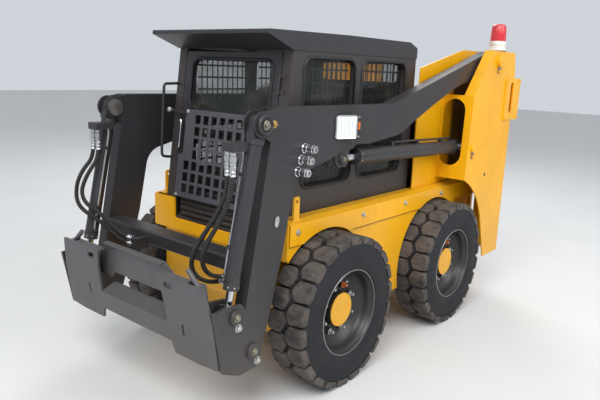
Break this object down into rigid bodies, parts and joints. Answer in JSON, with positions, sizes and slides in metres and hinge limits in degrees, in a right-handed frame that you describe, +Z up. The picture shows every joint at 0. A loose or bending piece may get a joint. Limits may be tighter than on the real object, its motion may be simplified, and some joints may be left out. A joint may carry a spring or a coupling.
{
  "type": "skid steer loader",
  "caption": "Yellow and charcoal skid steer loader with radial lift boom, quick coupler without a tool, guarded cab, twin rear towers and red beacon.",
  "frame": {"origin": "centre of the ground footprint, on the ground", "axes": "+Z up, -Y to the machine's front, +X to the machine's left hand side"},
  "size_m": [1.448, 3.042, 2.049],
  "materials": {
    "yellow_paint": "worn gloss",
    "grey_paint": "satin",
    "tyre_rubber": "dusty",
    "rim_paint": "satin",
    "clear_glass": "tinted",
    "chrome_steel": "polished",
    "bare_steel": "machined",
    "lamp_red": "clear",
    "lamp_clear": "clear",
    "white_plastic": "matte",
    "black_plastic": "matte",
    "hose_rubber": "matte",
    "seat_vinyl": "worn",
    "cast_metal": "rough"
  },
  "bodies": {
    "chassis": {"axle_housings": "cast_metal", "beacon_base": "white_plastic", "beacon_dome": "lamp_red", "cab_floor": "grey_paint", "cab_glass": "clear_glass", "cab_rear_wall": "grey_paint", "cab_roof": "grey_paint", "cab_sides": "grey_paint", "chassis_tub": "yellow_paint", "engine_block": "cast_metal", "footwell_panel": "grey_paint", "front_panel": "yellow_paint", "grab_rail": "grey_paint", "operator_station": "grey_paint", "radiator": "cast_metal", "rear_counterweight": "yellow_paint", "seat_cushions": "seat_vinyl", "side_sills": "yellow_paint", "tail_lamp_guards": "yellow_paint", "tail_lamps": "lamp_red", "tower_pins": "bare_steel", "towers": "yellow_paint"},
    "cab_door": {"door_frame": "grey_paint", "door_glass": "clear_glass", "door_guard": "grey_paint", "door_handle": "chrome_steel"},
    "rear_door": {"rear_door": "yellow_paint", "rear_grille": "black_plastic"},
    "hood": {"hood": "yellow_paint"},
    "boom": {"boom_arms": "grey_paint", "cross_beam": "grey_paint", "boom_pins": "bare_steel", "work_lamps": "black_plastic", "work_lamp_lenses": "lamp_clear", "quick_couplers": "chrome_steel", "tilt_hose_left_inner": "hose_rubber", "tilt_hose_left_outer": "hose_rubber", "tilt_hose_right_inner": "hose_rubber", "tilt_hose_right_outer": "hose_rubber"},
    "coupler": {"coupler_frame": "grey_paint", "coupler_ears": "grey_paint", "coupler_levers": "grey_paint"},
    "lift_barrel_left": {"lift_barrel_left": "grey_paint"},
    "lift_rod_left": {"lift_rod_left": "chrome_steel"},
    "tilt_barrel_left": {"tilt_barrel_left": "grey_paint"},
    "tilt_rod_left": {"tilt_rod_left": "chrome_steel"},
    "lift_barrel_right": {"lift_barrel_right": "grey_paint"},
    "lift_rod_right": {"lift_rod_right": "chrome_steel"},
    "tilt_barrel_right": {"tilt_barrel_right": "grey_paint"},
    "tilt_rod_right": {"tilt_rod_right": "chrome_steel"},
    "wheel_front_left": {"tyre_front_left": "tyre_rubber", "rim_front_left": "rim_paint"},
    "wheel_front_right": {"tyre_front_right": "tyre_rubber", "rim_front_right": "rim_paint"},
    "wheel_rear_left": {"tyre_rear_left": "tyre_rubber", "rim_rear_left": "rim_paint"},
    "wheel_rear_right": {"tyre_rear_right": "tyre_rubber", "rim_rear_right": "rim_paint"}
  },
  "joints": [
    {"name": "wheel_front_left_spin", "type": "hinge", "parent": "chassis", "child": "wheel_front_left", "pos_m": [0, -0.6165, 0.415], "axis": [1, 0, 0], "continuous": true},
    {"name": "wheel_front_right_spin", "type": "hinge", "parent": "chassis", "child": "wheel_front_right", "pos_m": [0, -0.6165, 0.415], "axis": [1, 0, 0], "continuous": true},
    {"name": "wheel_rear_left_spin", "type": "hinge", "parent": "chassis", "child": "wheel_rear_left", "pos_m": [0, 0.5985, 0.415], "axis": [1, 0, 0], "continuous": true},
    {"name": "wheel_rear_right_spin", "type": "hinge", "parent": "chassis", "child": "wheel_rear_right", "pos_m": [0, 0.5985, 0.415], "axis": [1, 0, 0], "continuous": true},
    {"name": "boom_lift", "type": "hinge", "parent": "chassis", "child": "boom", "pos_m": [0, 1.096, 1.782], "axis": [-1, 0, 0], "range_deg": [-3, 55]},
    {"name": "coupler_tilt", "type": "hinge", "parent": "boom", "child": "coupler", "pos_m": [0, -1.265, 0.392], "axis": [1, 0, 0], "range_deg": [-15, 80]},
    {"name": "cab_door_swing", "type": "hinge", "parent": "chassis", "child": "cab_door", "pos_m": [0.364, -0.93557, 0.93], "axis": [0, 0.1236, 0.9923], "range_deg": [0, 75]},
    {"name": "rear_door_swing", "type": "hinge", "parent": "chassis", "child": "rear_door", "pos_m": [-0.46, 1.422, 1], "axis": [0, 0, 1], "range_deg": [0, 100]},
    {"name": "hood_lift", "type": "hinge", "parent": "chassis", "child": "hood", "pos_m": [0, 0.401, 1.577], "axis": [1, 0, 0], "range_deg": [0, 60]},
    {"name": "lift_barrel_left_swing", "type": "hinge", "parent": "chassis", "child": "lift_barrel_left", "pos_m": [0, 0.787, 1.19], "axis": [-1, 0, 0], "range_deg": [-3.2, 55]},
    {"name": "lift_rod_left_slide", "type": "slide", "parent": "lift_barrel_left", "child": "lift_rod_left", "axis": [0, -0.9996, 0.0272], "range_m": [-0.04, 0.63]},
    {"name": "tilt_barrel_left_swing", "type": "hinge", "parent": "boom", "child": "tilt_barrel_left", "pos_m": [0, -1.207, 1.429], "axis": [-1, 0, 0], "range_deg": [-1, 4]},
    {"name": "tilt_rod_left_slide", "type": "slide", "parent": "tilt_barrel_left", "child": "tilt_rod_left", "axis": [0, -0.2031, -0.9792], "range_m": [-0.06, 0.3]},
    {"name": "lift_barrel_right_swing", "type": "hinge", "parent": "chassis", "child": "lift_barrel_right", "pos_m": [0, 0.787, 1.19], "axis": [-1, 0, 0], "range_deg": [-3.2, 55]},
    {"name": "lift_rod_right_slide", "type": "slide", "parent": "lift_barrel_right", "child": "lift_rod_right", "axis": [0, -0.9996, 0.0272], "range_m": [-0.04, 0.63]},
    {"name": "tilt_barrel_right_swing", "type": "hinge", "parent": "boom", "child": "tilt_barrel_right", "pos_m": [0, -1.207, 1.429], "axis": [-1, 0, 0], "range_deg": [-1, 4]},
    {"name": "tilt_rod_right_slide", "type": "slide", "parent": "tilt_barrel_right", "child": "tilt_rod_right", "axis": [0, -0.2031, -0.9792], "range_m": [-0.06, 0.3]}
  ],
  "couplings": [
    {"joint": "lift_barrel_left_swing", "follows": "boom_lift", "ratio": 0.991},
    {"joint": "lift_rod_left_slide", "follows": "boom_lift", "m_per_rad": 0.6448},
    {"joint": "tilt_barrel_left_swing", "follows": "coupler_tilt", "ratio": 0.03},
    {"joint": "tilt_rod_left_slide", "follows": "coupler_tilt", "m_per_rad": 0.2098},
    {"joint": "lift_barrel_right_swing", "follows": "boom_lift", "ratio": 0.991},
    {"joint": "lift_rod_right_slide", "follows": "boom_lift", "m_per_rad": 0.6448},
    {"joint": "tilt_barrel_right_swing", "follows": "coupler_tilt", "ratio": 0.03},
    {"joint": "tilt_rod_right_slide", "follows": "coupler_tilt", "m_per_rad": 0.2098}
  ]
}
